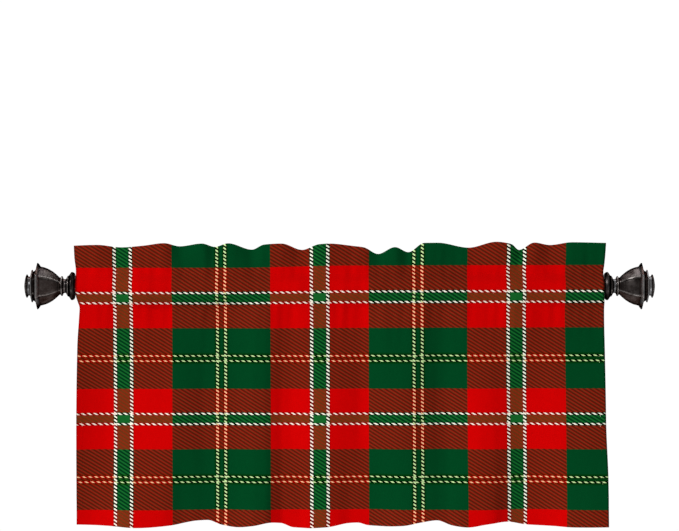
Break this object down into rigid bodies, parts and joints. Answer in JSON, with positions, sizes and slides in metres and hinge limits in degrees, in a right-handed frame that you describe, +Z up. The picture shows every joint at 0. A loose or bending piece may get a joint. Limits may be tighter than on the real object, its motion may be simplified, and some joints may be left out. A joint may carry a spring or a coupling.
{
  "type": "rod-pocket window valance on a curtain rod with finials",
  "caption": "Short plaid cloth curtain with a stand-up heading and rod pocket, hanging in soft folds from a round rod with six-sided finials.",
  "frame": {"origin": "on the rod's axis, midway between the finials", "axes": "+X along the rod, -Y to the room (the face of the cloth), +Y to the wall, +Z up"},
  "size_m": [1.0184, 0.0658, 0.4624],
  "materials": {
    "plaid_cloth": "matte cotton twill, yarn-dyed red and green plaid with white and pale yellow pair stripes",
    "dark_bronze": "dark oil-rubbed bronze finish, slightly mottled, satin",
    "dark_bronze_rod": "dark bronze paint, satin, plain"
  },
  "bodies": {
    "root": {"valance": "plaid_cloth", "rod": "dark_bronze_rod", "finial_left": "dark_bronze", "finial_right": "dark_bronze"}
  },
  "joints": []
}
